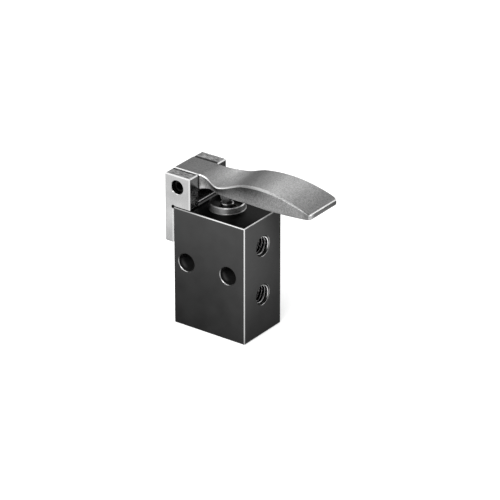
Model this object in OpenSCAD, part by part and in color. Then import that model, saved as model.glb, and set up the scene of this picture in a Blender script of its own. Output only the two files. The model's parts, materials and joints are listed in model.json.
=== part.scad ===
// Finger lever valve: a miniature three-way, normally closed poppet valve.
// Units are millimetres. The origin is the centre of the block's bottom face.
// +X is the ported face and the way the lever points, -Y is the front face, +Z is up.

/* [Body] */
// Width of the block, from the bracket side to the ported side
body_w = 19; // [18:0.1:24]
// Depth of the block, front to back
body_d = 13.5; // [12.6:0.1:18]
// Height of the block
body_h = 28; // [27.5:0.1:32]
// Broken edge round the block
body_edge = 0.25; // [0.1:0.05:0.6]

/* [Mounting holes] */
// Diameter of the two mounting holes
mount_hole_d = 4.2; // [3.2:0.1:4.5]
// Distance between the mounting holes
mount_spacing = 11.1; // [11:0.1:12]
// How far the pair of mounting holes lies from the block's middle, towards the bracket
mount_offset = 0.5; // [0:0.05:0.6]
// Height of the mounting holes above the bottom face
mount_z = 15.5; // [15.2:0.05:15.8]
// Edge break at the mouths of the mounting holes and the pin hole
mouth_edge = 0.12; // [0.05:0.01:0.2]

/* [Ports] */
// Major diameter of the port threads
port_d = 4.83; // [4:0.01:5]
// Depth of the port threads
port_depth = 4.5; // [3.5:0.1:4.8]
// Edge break at the mouths of the ports
port_edge = 0.06; // [0.03:0.01:0.15]
// Distance between the two ports
port_spacing = 11.7; // [11.5:0.05:12]
// Diameter of the drillings that run from the ports to the centre bore
port_drill_d = 2.2; // [1.6:0.1:2.4]

/* [Bracket] */
// Thickness of the plate on the side of the block
plate_t = 2.25; // [2:0.05:3]
// How far the plate hangs below the top of the block
plate_drop = 8.6; // [7.8:0.1:9.4]
// Length of the cheeks along X
cheek_l = 6.65; // [6.4:0.05:7.5]
// Height of the cheeks above the top of the block
cheek_h = 7.58; // [7.4:0.02:9]
// Thickness of the slot's floor
floor_t = 1.15; // [0.9:0.05:1.5]
// Radius of the relief in the inner corner, round the block's edge
relief_r = 0.48; // [0.4:0.02:0.6]
// Broken edge round the bracket
bracket_edge = 0.25; // [0.1:0.01:0.35]
// Nominal diameter of the bracket screws
screw_d = 2.18; // [1.8:0.02:2.4]
// Length of the bracket screws, head and all
screw_l = 6.35; // [5.5:0.05:6.6]
// Distance between the bracket screws
screw_spacing = 7.8; // [7.4:0.1:8.2]
// Distance from the block's top down to the bracket screws
screw_drop = 4.3; // [4:0.1:4.8]

/* [Pivot] */
// Diameter of the pivot pin
pin_d = 3.175; // [2.4:0.005:3.2]
// Distance from the bracket's outer face to the pin
pin_inset = 3.34; // [3:0.02:3.4]
// Distance from the top of the cheeks down to the pin
pin_drop = 2.73; // [2.5:0.01:2.9]
// How far the pin's ends lie below the cheek faces
pin_recess = 1.1; // [0.3:0.1:1.4]
// Wall of the rolled spring pin
pin_wall = 0.6; // [0.4:0.05:0.8]
// Width of the slit along the spring pin
pin_slit = 0.7; // [0.5:0.05:1]

/* [Lever] */
// Distance from the pin to the tip of the lever
lever_reach = 33.75; // [31:0.05:36]
// Width of the root between the cheeks
root_w = 6.9; // [6.4:0.1:7.4]
// Side gap between the root and each cheek
root_gap = 0.2; // [0.08:0.01:0.25]
// How far the root stands above the cheeks
root_proud = 0.09; // [0:0.01:0.3]
// How far the lever's shoulder, by the dip, lies inside the block's front and back
shoulder_inset = 1.275; // [0.8:0.005:1.8]
// How far its waist lies inside them
waist_inset = 1.81; // [1.6:0.01:2.2]
// How far its tip lies inside them
tip_inset = 1.5; // [1:0.05:1.75]
// Depth of the dip below the root's top
dip_depth = 0.67; // [0.4:0.01:1.2]
// Height of the crown above the dip
crown_rise = 2.56; // [1.8:0.02:3]
// Radius of the crown, seen from the side
crown_r = 31; // [28:0.5:40]
// Thickness of the root beyond the pin
root_thickness = 3.6; // [3.3:0.05:3.75]
// Thickness of the lever over the dip
dip_thickness = 1.9; // [1.6:0.05:2.2]
// Thickness at the tip
tip_thickness = 1.15; // [0.8:0.05:1.5]
// Rounding of the tip's corners, seen from above
tip_corner_r = 1.1; // [0.6:0.1:2]
// Bevel of the upper edges over the crown
edge_bevel = 0.46; // [0.3:0.02:0.7]
// How far the sides are hollowed under the bevel, over the dip and the waist
side_hollow = 0.34; // [0.1:0.02:0.5]
// Radius of the nose that presses the button
nose_r = 1; // [0.8:0.05:1.3]
// Width of the rib that ends in the nose
rib_w = 2.2; // [1.8:0.1:2.8]
// Slope of the rib's flanks
rib_flank = 24; // [15:1:30]

/* [Top bushing] */
// Diameter of the collar on top of the block
collar_d = 7.96; // [7.8:0.01:8.3]
// Height of the collar
collar_h = 1.45; // [1.3:0.05:2]
// Diameter of the thin foot that the collar stands on
foot_d = 8.4; // [8.2:0.02:8.8]
// Taper of the collar, on the radius
collar_taper = 0.04; // [0:0.01:0.2]
// Width of the collar's rim
rim_w = 0.3; // [0.2:0.02:0.6]
// Broken outer edge of the rim
rim_edge = 0.17; // [0.05:0.01:0.2]
// Depth of the recess inside the collar
recess_depth = 1.1; // [0.9:0.05:1.15]
// Major diameter of the bushing's thread
bushing_d = 6.35; // [6:0.05:6.6]
// Distance from the upper port's drilling up to the seal retainer
retainer_gap = 0.15; // [0.1:0.01:0.25]
// Diameter of the spring chamber inside the bushing
chamber_d = 4.2; // [4.1:0.05:4.4]

/* [Plunger] */
// Diameter of the button
button_d = 3; // [2.8:0.05:3.2]
// How far the button's top lies below the collar's rim
button_sink = 0.05; // [0:0.01:0.1]
// Broken edge of the button
button_edge = 0.11; // [0.05:0.01:0.2]
// Diameter of the hollow stem
stem_d = 1.9; // [1.7:0.05:2]
// Diameter of the exhaust passage in the stem
stem_bore_d = 0.9; // [0.6:0.05:1]
// Full travel of the button
travel = 1.2; // [0.8:0.05:1.3]
// Free movement before the stem meets the poppet
lost_motion = 0.4; // [0.2:0.05:0.6]
// Wire of the plunger spring
plunger_wire = 0.25; // [0.2:0.01:0.3]
// Wire of the poppet spring
poppet_wire = 0.3; // [0.2:0.01:0.36]

/* [Valve seat] */
// Diameter of the bore that holds the seat and the spacer
cage_d = 5; // [4.9:0.05:5.1]
// Diameter of the flow hole in the seat
seat_hole_d = 3; // [2.7:0.05:3.1]
// Height of the seat's face above the bottom of the block
seat_z = 15.2; // [15:0.05:15.4]
// Thickness of the seat
seat_t = 2.2; // [2:0.05:2.4]
// Height of the lip round the flow hole
seat_lip = 0.3; // [0.2:0.05:0.4]
// Depth of the seat's o-ring groove
seat_groove = 0.6; // [0.5:0.05:0.7]

/* [Poppet and bottom plug] */
// Diameter of the poppet's head
poppet_d = 4; // [3.8:0.05:4.05]
// Height of the poppet's head
poppet_head_h = 1.5; // [1.3:0.05:1.7]
// Thickness of the rubber disc in the poppet
disc_t = 0.8; // [0.6:0.05:1]
// Diameter of the supply bore round the poppet's head
supply_d = 4.6; // [4.3:0.05:4.7]
// Major diameter of the plug's thread
plug_d = 6.4; // [6:0.05:6.6]
// Length of the plug's threaded part
plug_l = 4.2; // [3.6:0.1:4.5]
// How far the plug lies below the bottom face
plug_recess = 0.5; // [0.3:0.05:0.8]
// Width across flats of the plug's hexagon socket
plug_hex = 3; // [2.5:0.1:3.4]

/* [Fits] */
// Radial clearance of a running fit
run_gap = 0.04; // [0.02:0.005:0.06]
// Radial clearance of a seated or threaded part
seat_gap = 0.02; // [0.01:0.005:0.03]

/* [Hidden] */
$fn = 64;
tiny = 0.01;

// Places in the block
port_x = body_w / 2;
upper_port_z = mount_z + port_spacing / 2;
lower_port_z = mount_z - port_spacing / 2;

// Bracket and pivot
plate_x = -body_w / 2 - plate_t;
cheek_top_z = body_h + cheek_h;
slot_w = root_w + 2 * root_gap;
floor_edge = 0.15;
floor_z = body_h + floor_t;
pin_x = plate_x + pin_inset;
pin_z = cheek_top_z - pin_drop;
screw_z = body_h - screw_drop;
screw_head_d = 2 * screw_d - 0.1;
screw_head_h = (screw_head_d - screw_d) / 2;
screw_play = 0.1;
screw_sink = 0.05;
screw_slot = 0.5;
screw_hole_spare = 0.6;
pin_edge = 0.22;

// Top bushing and what it holds, from the top down
recess_z = body_h + collar_h - recess_depth;
guide_l = 0.9;
chamber_top_z = recess_z - guide_l;
retainer_t = 0.45;
retainer_z = upper_port_z + port_drill_d / 2 + retainer_gap;
bushing_end_z = retainer_z + retainer_t;
foot_h = 0.22;
foot_edge = 0.1;
collar_recess_d = foot_d - 1;
flange_h = 0.45;
flange_d = chamber_d - 0.3;
flange_flat = 0.39 * flange_d;
flange_bottom_z = chamber_top_z - seat_gap - flange_h;
o_ring_t = 0.8;
stem_o_ring_t = (chamber_d - stem_d) / 2 - 2 * seat_gap;
washer_t = 0.25;
washer_z = bushing_end_z + stem_o_ring_t + 2 * seat_gap;
cross_hole_d = 0.8 * stem_bore_d;
cross_hole_z = washer_z + washer_t + travel + cross_hole_d / 2 + 0.04;
thread_relief = 0.2;
thread_top_z = body_h - o_ring_t - thread_relief;
collar_groove_d = bushing_d - 0.5;
exhaust_d = 0.9;

// Seat, spacer and poppet
seat_top_z = seat_z + seat_lip + seat_t;
cage_shelf_z = seat_z + seat_lip;
groove_d = cage_d - 2 * seat_groove;
groove_ring_t = seat_groove - 1.5 * seat_gap;
groove_h = 1.25 * seat_groove;
groove_z = cage_shelf_z + seat_groove;
stem_end_z = seat_z + lost_motion;
poppet_gap = 0.03;
poppet_travel = travel - lost_motion + poppet_gap;
poppet_head_z = seat_z - poppet_head_h;
plug_top_z = plug_recess + plug_l;
plug_bore_z = plug_top_z + o_ring_t;
poppet_stem_d = 1.8;
foot_t = 0.4;
spring_foot_z = plug_bore_z + foot_t;
poppet_tail_z = spring_foot_z - 1.5;
disc_d = seat_hole_d + 0.34;
supply_chamber_d = plug_d - 0.7;
supply_chamber_top_z = mount_z - mount_hole_d / 2 - 0.9;
plug_edge = 0.2;
plug_socket_h = 2;
port_cone_l = 0.7;
sleeve_wall = 0.6;

// Lever widths, and stations along X
shoulder_w = body_d - 2 * shoulder_inset;
waist_w = body_d - 2 * waist_inset;
tip_w = body_d - 2 * tip_inset;
tip_x = pin_x + lever_reach;
root_top_z = cheek_top_z + root_proud;
root_end_x = plate_x + cheek_l + 0.15;
dip_x = 0.7;
dip_z = root_top_z - dip_depth;
crown_x = 12.9;
crown_z = dip_z + crown_rise;
crown_start_x = 7.6;
flare_start_x = root_end_x + 0.75;
shoulder_x = 1.7;
waist_x = 8.2;
tip_body_x = tip_x - 2.8;
heel_gap = 0.02;
heel_z = floor_z + heel_gap;
heel_end_x = pin_x - 1;
root_inset = 0.12;
knuckle_r = 2.9;
nose_x = 0.2;
nose_gap = 0.02;
button_top_z = body_h + collar_h - button_sink;

// Cubic from (x0, y0) with slope m0 to (x1, y1) with slope m1
function blend(x, x0, y0, m0, x1, y1, m1) =
    let (h = x1 - x0, t = (x - x0) / h)
    (2 * t * t * t - 3 * t * t + 1) * y0 + (t * t * t - 2 * t * t + t) * h * m0
    + (3 * t * t - 2 * t * t * t) * y1 + (t * t * t - t * t) * h * m1;

// Height and slope of the crown's arc
function crown_arc(x) = crown_z - crown_r + sqrt(crown_r * crown_r - pow(x - crown_x, 2));
function crown_slope(x) = (crown_x - x) / sqrt(crown_r * crown_r - pow(x - crown_x, 2));

// Upper profile of the lever: flat root, dip, crown
function lever_top(x) =
    x <= root_end_x ? root_top_z
    : x <= dip_x ? blend(x, root_end_x, root_top_z, 0, dip_x, dip_z, 0)
    : x <= crown_start_x
        ? blend(x, dip_x, dip_z, 0, crown_start_x, crown_arc(crown_start_x), crown_slope(crown_start_x))
    : crown_arc(x);

// Lower profile of the lever: heel, knuckle round the pin, arch over the collar, belly, tip
root_under_z = root_top_z - root_thickness;
arch_x = -0.8;
arch_z = dip_z - dip_thickness + 0.23;
belly_x = 7;
belly_z = arch_z - 0.55;
tip_under_z = lever_top(tip_x) - tip_thickness;
knuckle_end_x = root_end_x - 0.5;
function lever_under(x) =
    x <= heel_end_x ? heel_z
    : x <= pin_x ? blend(x, heel_end_x, heel_z, 0, pin_x, pin_z - knuckle_r, 0)
    : x <= knuckle_end_x
        ? min(root_under_z, pin_z - sqrt(max(0, knuckle_r * knuckle_r - pow(x - pin_x, 2))))
    : x <= arch_x ? blend(x, knuckle_end_x, root_under_z, 0.2, arch_x, arch_z, 0)
    : x <= belly_x ? blend(x, arch_x, arch_z, 0, belly_x, belly_z, 0)
    : blend(x, belly_x, belly_z, 0, tip_x, tip_under_z, 0.1);

// Half the lever's width, with the tip's corners rounded
tip_corner_x = tip_x - tip_corner_r;
function corner_cut(x) =
    x <= tip_corner_x ? 0
    : tip_corner_r - sqrt(max(0, tip_corner_r * tip_corner_r - pow(x - tip_corner_x, 2)));
function half_width(x) =
    (x <= flare_start_x ? root_w / 2
    : x <= shoulder_x ? blend(x, flare_start_x, root_w / 2, 0, shoulder_x, shoulder_w / 2, 0)
    : x <= waist_x ? blend(x, shoulder_x, shoulder_w / 2, 0, waist_x, waist_w / 2, 0)
    : x <= tip_body_x ? blend(x, waist_x, waist_w / 2, 0, tip_body_x, tip_w / 2, 0)
    : tip_w / 2) - corner_cut(x);

// Bevel of the upper edge, small at the root and at the tip
root_bevel = 0.2;
tip_bevel = 0.22;
tip_run = 6;
function bevel(x) =
    x <= 0 ? root_bevel
    : x <= waist_x ? blend(x, 0, root_bevel, 0, waist_x, edge_bevel, 0)
    : x <= tip_x - tip_run ? edge_bevel
    : blend(x, tip_x - tip_run, edge_bevel, 0, tip_x, tip_bevel, 0);

// Depth of the hollow in the sides: none at the root and over the crown
hollow_end_x = crown_x + 2;
function hollow(x) =
    x <= flare_start_x ? 0
    : x <= dip_x ? blend(x, flare_start_x, 0, 0, dip_x, side_hollow, 0)
    : x <= crown_start_x ? side_hollow
    : x <= hollow_end_x ? blend(x, crown_start_x, side_hollow, 0, hollow_end_x, 0, 0)
    : 0;

// One cross-section of the lever, from the lower right corner round over the top
under_edge = 0.18;
side_steps = 3;
function lever_section(x, inset = 0) =
    let (w = half_width(x) - inset, t = lever_top(x) - inset, u = lever_under(x) + inset,
         b = bevel(x), side_h = t - b - u - under_edge, d = hollow(x))
    let (half = concat(
        [[w - d - under_edge, u]],
        [for (i = [0:side_steps]) let (v = i / side_steps)
            [w - d + d * v * v, u + under_edge + side_h * v]],
        [[w - b, t]]))
    concat(
        [for (p = half) [x, p[0], p[1]]],
        [for (i = [len(half) - 1:-1:0]) [x, -half[i][0], half[i][1]]]
    );

// Stations of the loft: close together where the shape turns quickly
lever_stations = concat(
    [plate_x + 2 * root_inset, heel_end_x],
    [for (i = [1:4]) heel_end_x + (pin_x - heel_end_x) * i / 4],
    [for (i = [1:6]) pin_x + (knuckle_end_x - pin_x) * i / 6],
    [for (i = [1:14]) knuckle_end_x + (dip_x - knuckle_end_x) * i / 14],
    [for (i = [1:10]) dip_x + (crown_start_x - dip_x) * i / 10],
    [for (i = [1:12]) crown_start_x + (tip_corner_x - crown_start_x) * i / 12],
    [for (i = [1:5]) tip_corner_x + tip_corner_r * 0.97 * sin(18 * i)]
);
lever_sections = concat(
    [lever_section(plate_x + root_inset, root_inset)],
    [for (x = lever_stations) lever_section(x)]
);

// Skin through a list of sections with the same number of points each
module loft(sections) {
    n = len(sections[0]);
    last = len(sections) - 1;
    points = [for (s = sections) for (p = s) p];
    sides = [for (k = [0:last - 1]) for (i = [0:n - 1])
        [k * n + i, (k + 1) * n + i, (k + 1) * n + (i + 1) % n, k * n + (i + 1) % n]];
    start = [[for (i = [0:n - 1]) i]];
    end = [[for (i = [n - 1:-1:0]) last * n + i]];
    polyhedron(points, concat(sides, start, end), convexity = 6);
}

// Rectangle with its corners cut off, from corner (a, b) to corner (c, d)
module cut_rect(a, b, c, d, e) {
    polygon([[a + e, b], [c - e, b], [c, b + e], [c, d - e],
             [c - e, d], [a + e, d], [a, d - e], [a, b + e]]);
}

// Block between two corners with every edge broken
module edged_block(lo, hi, e) {
    intersection() {
        translate([0, 0, lo[2]]) linear_extrude(hi[2] - lo[2])
            cut_rect(lo[0], lo[1], hi[0], hi[1], e);
        translate([0, hi[1], 0]) rotate([90, 0, 0]) linear_extrude(hi[1] - lo[1])
            cut_rect(lo[0], lo[2], hi[0], hi[2], e);
        translate([lo[0], 0, 0]) rotate([90, 0, 90]) linear_extrude(hi[0] - lo[0])
            cut_rect(lo[1], lo[2], hi[1], hi[2], e);
    }
}

// Tube or ring with its axis on Z
module ring(outer_d, inner_d, z, h) {
    translate([0, 0, z]) difference() {
        cylinder(d = outer_d, h = h);
        translate([0, 0, -1]) cylinder(d = inner_d, h = h + 2);
    }
}

// O-ring between two diameters, its lower side at z
module o_ring(inner_d, outer_d, z) {
    section = (outer_d - inner_d) / 2;
    translate([0, 0, z + section / 2]) rotate_extrude()
        translate([(inner_d + section) / 2, 0]) circle(d = section, $fn = 24);
}

// Round wire wound up Z, with closed ends ground flat
module coil_spring(mean_d, wire, z0, z1, turns) {
    sides = 8;
    per_turn = 16;
    steps = turns * per_turn;
    rise = z1 - z0 - wire;
    closed = 0.75;
    function lift(k) =
        let (t = k / per_turn, free = turns - 2 * closed)
        t < closed ? wire * t / closed * 0.5
        : t > turns - closed ? rise - wire * (turns - t) / closed * 0.5
        : wire * 0.5 + (rise - wire) * (t - closed) / free;
    function wire_point(k, i) =
        let (a = 360 * k / per_turn, b = 360 * i / sides,
             r = mean_d / 2 + wire / 2 * cos(b))
        [r * cos(a), r * sin(a), z0 + wire / 2 + lift(k) + wire / 2 * sin(b)];
    loft([for (k = [0:steps]) [for (i = [sides - 1:-1:0]) wire_point(k, i)]]);
}

// Drilling along X, from the ported face inward
module port(z) {
    translate([port_x, 0, z]) rotate([0, -90, 0]) {
        translate([0, 0, -1]) cylinder(d = port_d, h = port_depth + 1);
        translate([0, 0, -tiny])
            cylinder(d1 = port_d + 2 * port_edge, d2 = port_d, h = port_edge);
        translate([0, 0, port_depth - tiny]) cylinder(d1 = port_d, d2 = port_drill_d, h = port_cone_l);
        cylinder(d = port_drill_d, h = port_x - 1);
    }
}

// Mounting hole through the block along Y
module mount_hole(x) {
    translate([x, 0, mount_z]) rotate([90, 0, 0]) {
        cylinder(d = mount_hole_d, h = body_d + 2, center = true);
        for (side = [0, 1]) mirror([0, 0, side])
            translate([0, 0, body_d / 2 - mouth_edge])
                cylinder(d1 = mount_hole_d, d2 = mount_hole_d + 2 * mouth_edge, h = mouth_edge + tiny);
    }
}

module valve_body() {
    color([0.06, 0.06, 0.065]) difference() {
        edged_block([-body_w / 2, -body_d / 2, 0], [body_w / 2, body_d / 2, body_h], body_edge);
        // Centre bore, from the top down
        translate([0, 0, body_h - o_ring_t]) cylinder(d = collar_recess_d, h = o_ring_t + 1);
        translate([0, 0, retainer_z]) cylinder(d = bushing_d, h = body_h - retainer_z + 1);
        translate([0, 0, cage_shelf_z]) cylinder(d = cage_d, h = body_h - cage_shelf_z);
        translate([0, 0, 1]) cylinder(d = supply_d, h = body_h - 2);
        translate([0, 0, 1]) cylinder(d = supply_chamber_d, h = supply_chamber_top_z - 1);
        translate([0, 0, -1]) cylinder(d = plug_d, h = plug_top_z + 1);
        translate([0, 0, -tiny]) cylinder(d1 = plug_d + 2 * plug_edge, d2 = plug_d, h = plug_edge);
        port(upper_port_z);
        port(lower_port_z);
        for (side = [-1, 1]) mount_hole(side * mount_spacing / 2 - mount_offset);
        // Tapped holes for the bracket screws
        for (side = [-1, 1])
            translate([-body_w / 2 - 1, side * screw_spacing / 2, screw_z]) rotate([0, 90, 0])
                cylinder(d = screw_d, h = screw_l - plate_t + screw_hole_spare + 1);
    }
}

module lever_bracket() {
    half_d = body_d / 2;
    color([0.72, 0.72, 0.73]) difference() {
        union() {
            edged_block([plate_x, -half_d, body_h - plate_drop],
                        [-body_w / 2, half_d, cheek_top_z], bracket_edge);
            edged_block([plate_x, -half_d, body_h], [plate_x + cheek_l, half_d, cheek_top_z],
                        bracket_edge);
            // Square lower edge, where the cheeks stand on the block
            translate([plate_x + bracket_edge, bracket_edge - half_d, body_h])
                cube([cheek_l - 2 * bracket_edge, body_d - 2 * bracket_edge, bracket_edge + tiny]);
        }
        // Slot for the lever's root, its floor broken at both ends
        translate([plate_x - 1, -slot_w / 2, floor_z]) cube([cheek_l + 2, slot_w, cheek_h]);
        for (x = [plate_x, plate_x + cheek_l]) translate([x, 0, floor_z]) rotate([0, 45, 0])
            cube([floor_edge * sqrt(2), slot_w, floor_edge * sqrt(2)], center = true);
        // Relief round the block's upper edge
        translate([-body_w / 2, 0, body_h]) rotate([90, 0, 0])
            cylinder(r = relief_r, h = body_d + 2, center = true);
        // Pin hole through both cheeks
        translate([pin_x, 0, pin_z]) rotate([90, 0, 0]) {
            cylinder(d = pin_d, h = body_d + 2, center = true);
            for (side = [0, 1]) mirror([0, 0, side]) translate([0, 0, half_d - mouth_edge])
                cylinder(d1 = pin_d, d2 = pin_d + 2 * mouth_edge, h = mouth_edge + tiny);
        }
        // Countersunk holes for the screws
        for (side = [-1, 1]) translate([plate_x, side * screw_spacing / 2, screw_z])
            rotate([0, 90, 0]) {
                translate([0, 0, -1]) cylinder(d = screw_d + 2 * screw_play, h = plate_t + 2);
                translate([0, 0, -tiny])
                    cylinder(d1 = screw_head_d + 2 * screw_play, d2 = screw_d + 2 * screw_play,
                             h = screw_head_h + 2 * tiny);
            }
    }
}

module bracket_screws() {
    color([0.55, 0.55, 0.57])
    for (side = [-1, 1]) translate([plate_x + screw_sink, side * screw_spacing / 2, screw_z])
        rotate([0, 90, 0]) difference() {
            union() {
                cylinder(d1 = screw_head_d, d2 = screw_d, h = screw_head_h);
                translate([0, 0, pin_edge])
                    cylinder(d = screw_d - 2 * seat_gap, h = screw_l - 2 * pin_edge);
                translate([0, 0, screw_l - pin_edge - tiny])
                    cylinder(d1 = screw_d - 2 * seat_gap, d2 = screw_d - 2 * pin_edge, h = pin_edge);
            }
            translate([-screw_slot / 2, -screw_head_d, -tiny])
                cube([screw_slot, 2 * screw_head_d, screw_slot]);
        }
}

module pivot_pin() {
    length = body_d - 2 * pin_recess;
    outer = pin_d - 2 * seat_gap;
    color([0.12, 0.12, 0.13]) translate([pin_x, length / 2, pin_z]) rotate([90, 0, 0]) difference() {
        union() {
            translate([0, 0, pin_edge]) cylinder(d = outer, h = length - 2 * pin_edge);
            cylinder(d1 = outer - 2 * pin_edge, d2 = outer, h = pin_edge + tiny);
            translate([0, 0, length - pin_edge - tiny])
                cylinder(d1 = outer, d2 = outer - 2 * pin_edge, h = pin_edge + tiny);
        }
        translate([0, 0, -1]) cylinder(d = outer - 2 * pin_wall, h = length + 2);
        translate([0, -pin_slit / 2, -1]) cube([pin_d, pin_slit, length + 2]);
    }
}

module finger_lever() {
    nose_z = button_top_z + nose_gap + nose_r;
    rib_h = lever_under(nose_x) + 0.5 - nose_z;
    flank_x = nose_r * cos(rib_flank);
    flank_z = -nose_r * sin(rib_flank);
    top_x = flank_x + (rib_h - flank_z) * tan(rib_flank);
    color([0.52, 0.52, 0.53]) difference() {
        union() {
            loft(lever_sections);
            // Rib under the lever, flared upward from the round nose that presses the button
            translate([nose_x, rib_w / 2, nose_z]) rotate([90, 0, 0]) {
                cylinder(r = nose_r, h = rib_w);
                linear_extrude(rib_w) polygon([[-flank_x, flank_z], [flank_x, flank_z],
                                               [top_x, rib_h], [-top_x, rib_h]]);
            }
        }
        translate([pin_x, 0, pin_z]) rotate([90, 0, 0])
            cylinder(d = pin_d + 2 * run_gap, h = body_d, center = true);
    }
}

module stem_bushing() {
    guide_d = button_d + 2 * run_gap;
    rim_d = collar_d - 2 * collar_taper;
    color([0.16, 0.16, 0.17]) difference() {
        union() {
            // Foot, collar and rim, each with a broken edge, then the seal groove and the thread
            translate([0, 0, body_h]) cylinder(d = foot_d, h = foot_h - foot_edge);
            translate([0, 0, body_h + foot_h - foot_edge - tiny])
                cylinder(d1 = foot_d, d2 = foot_d - 2 * foot_edge, h = foot_edge + tiny);
            translate([0, 0, body_h]) cylinder(d1 = collar_d, d2 = rim_d, h = collar_h - rim_edge);
            translate([0, 0, body_h + collar_h - rim_edge - tiny])
                cylinder(d1 = rim_d, d2 = rim_d - 2 * rim_edge, h = rim_edge + tiny);
            translate([0, 0, thread_top_z - tiny])
                cylinder(d = collar_groove_d, h = body_h - thread_top_z + 2 * tiny);
            translate([0, 0, bushing_end_z])
                cylinder(d = bushing_d - 2 * seat_gap, h = thread_top_z - bushing_end_z);
        }
        // Recess inside the collar, guide bore and spring chamber
        translate([0, 0, recess_z])
            cylinder(d = rim_d - 2 * rim_w, h = recess_depth + 1);
        translate([0, 0, bushing_end_z - 1]) cylinder(d = guide_d, h = body_h + collar_h);
        translate([0, 0, bushing_end_z - 1]) cylinder(d = chamber_d, h = chamber_top_z - bushing_end_z + 1);
        // Exhaust grooves beside the guide bore
        for (a = [30, 150, 270]) rotate(a)
            translate([button_d / 2, 0, chamber_top_z - 1]) cylinder(d = exhaust_d, h = guide_l + 2);
    }
}

module bushing_o_ring() {
    color([0.05, 0.05, 0.05])
        o_ring(collar_groove_d + 2 * seat_gap, collar_recess_d - 2 * seat_gap, body_h - o_ring_t + seat_gap);
}

module plunger() {
    dome_r = 6;
    edge_z = button_top_z - dome_r + sqrt(dome_r * dome_r - button_d * button_d / 4);
    cone_top_z = edge_z + button_d / 2 - button_edge;
    color([0.62, 0.6, 0.55]) difference() {
        union() {
            intersection() {
                translate([0, 0, flange_bottom_z])
                    cylinder(d = button_d, h = button_top_z - flange_bottom_z);
                translate([0, 0, button_top_z - dome_r]) sphere(r = dome_r);
                // Broken edge, below the dome
                translate([0, 0, flange_bottom_z])
                    cylinder(r1 = cone_top_z - flange_bottom_z, r2 = 0, h = cone_top_z - flange_bottom_z);
            }
            // Flange that stops under the bushing's guide, with three flats for the exhaust
            intersection() {
                translate([0, 0, flange_bottom_z]) cylinder(d = flange_d, h = flange_h);
                rotate(30) translate([0, 0, flange_bottom_z - 1])
                    cylinder(r = 2 * flange_flat, h = flange_h + 2, $fn = 3);
            }
            translate([0, 0, stem_end_z]) cylinder(d = stem_d, h = flange_bottom_z - stem_end_z + tiny);
        }
        // Exhaust passage and its cross hole, above the stem seal
        translate([0, 0, stem_end_z - 1])
            cylinder(d = stem_bore_d, h = cross_hole_z + cross_hole_d / 2 - stem_end_z + 1);
        translate([0, 0, cross_hole_z]) rotate([90, 0, 0])
            cylinder(d = cross_hole_d, h = stem_d + 1, center = true);
    }
}

module plunger_spring() {
    color([0.7, 0.7, 0.7])
        coil_spring(chamber_d - plunger_wire - 0.3, plunger_wire,
                    washer_z + washer_t + tiny, flange_bottom_z - tiny, 4);
}

module spring_washer() {
    color([0.78, 0.64, 0.34])
        ring(chamber_d - 4 * seat_gap, stem_d + 2 * run_gap, washer_z, washer_t);
}

module stem_o_ring() {
    color([0.05, 0.05, 0.05])
        o_ring(stem_d + 2 * seat_gap, chamber_d - 2 * seat_gap, bushing_end_z + seat_gap);
}

module seal_retainer() {
    color([0.78, 0.64, 0.34])
        ring(bushing_d - 2 * seat_gap, stem_d + 2 * run_gap, retainer_z, retainer_t);
}

module spacer_sleeve() {
    color([0.78, 0.64, 0.34]) difference() {
        ring(cage_d - 2 * seat_gap, cage_d - 2 * sleeve_wall, seat_top_z, retainer_z - seat_top_z);
        // Windows towards the upper port and across it
        for (a = [0, 90]) translate([0, 0, upper_port_z]) rotate([90, 0, a])
            cylinder(d = port_drill_d - 0.2, h = cage_d + 2, center = true);
    }
}

module valve_seat() {
    color([0.8, 0.66, 0.36]) difference() {
        union() {
            translate([0, 0, cage_shelf_z]) cylinder(d = cage_d - 2 * seat_gap, h = seat_t);
            // Lip that the rubber disc closes on
            translate([0, 0, seat_z])
                cylinder(d1 = seat_hole_d + 0.3, d2 = seat_hole_d + 0.8, h = seat_lip + tiny);
        }
        translate([0, 0, seat_z - 1]) cylinder(d = seat_hole_d, h = seat_t + 2);
        ring(cage_d + seat_groove, groove_d, groove_z, groove_h);
    }
}

module seat_o_ring() {
    color([0.05, 0.05, 0.05])
        o_ring(groove_d + seat_gap, cage_d - 2 * seat_gap, groove_z + (groove_h - groove_ring_t) / 2);
}

module poppet() {
    color([0.8, 0.66, 0.36]) difference() {
        union() {
            // Head that cups the rubber disc, and the stem that the plug guides
            translate([0, 0, poppet_head_z]) cylinder(d = poppet_d, h = poppet_head_h - 0.05);
            translate([0, 0, poppet_tail_z])
                cylinder(d = poppet_stem_d, h = poppet_head_z - poppet_tail_z + tiny);
        }
        translate([0, 0, seat_z - disc_t]) cylinder(d = disc_d, h = disc_t + 1);
    }
}

module poppet_seal() {
    color([0.07, 0.07, 0.07]) translate([0, 0, seat_z - disc_t + 0.01])
        cylinder(d = disc_d - 2 * seat_gap, h = disc_t - 0.02);
}

module poppet_spring() {
    color([0.7, 0.7, 0.7])
        coil_spring(poppet_stem_d + poppet_wire + 0.4, poppet_wire, spring_foot_z + tiny,
                    poppet_head_z - tiny, 6.5);
}

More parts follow.
